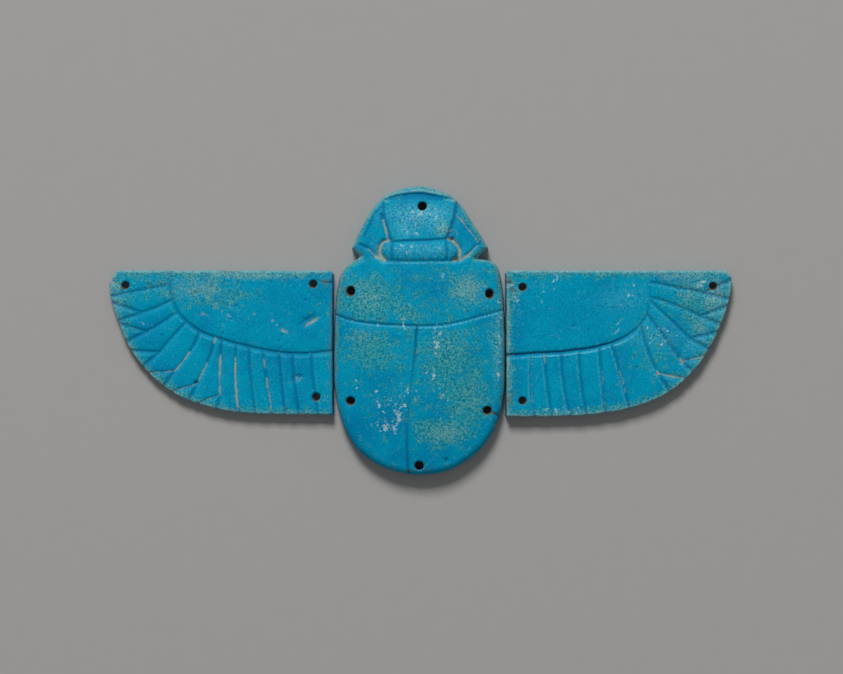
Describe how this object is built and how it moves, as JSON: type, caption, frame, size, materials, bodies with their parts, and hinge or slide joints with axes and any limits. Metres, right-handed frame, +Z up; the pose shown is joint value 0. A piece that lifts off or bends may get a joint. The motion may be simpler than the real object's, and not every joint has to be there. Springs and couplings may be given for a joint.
{
  "type": "scarab amulet",
  "caption": "Winged scarab amulet: a low domed beetle plaque with a feathered wing laid on each side, flat underneath and pierced for sewing thread.",
  "frame": {"origin": "on the resting plane, under the middle of the three pieces as they lie", "axes": "+X along the wings to the viewer's right, +Y towards the scarab's head, +Z up out of the carved face"},
  "size_m": [0.1458, 0.0675, 0.008],
  "materials": {
    "blue_faience": "worn blue-green faience glaze, soft semi-matt sheen"
  },
  "bodies": {
    "root": {"scarab": "blue_faience", "left_wing": "blue_faience", "right_wing": "blue_faience"}
  },
  "joints": []
}
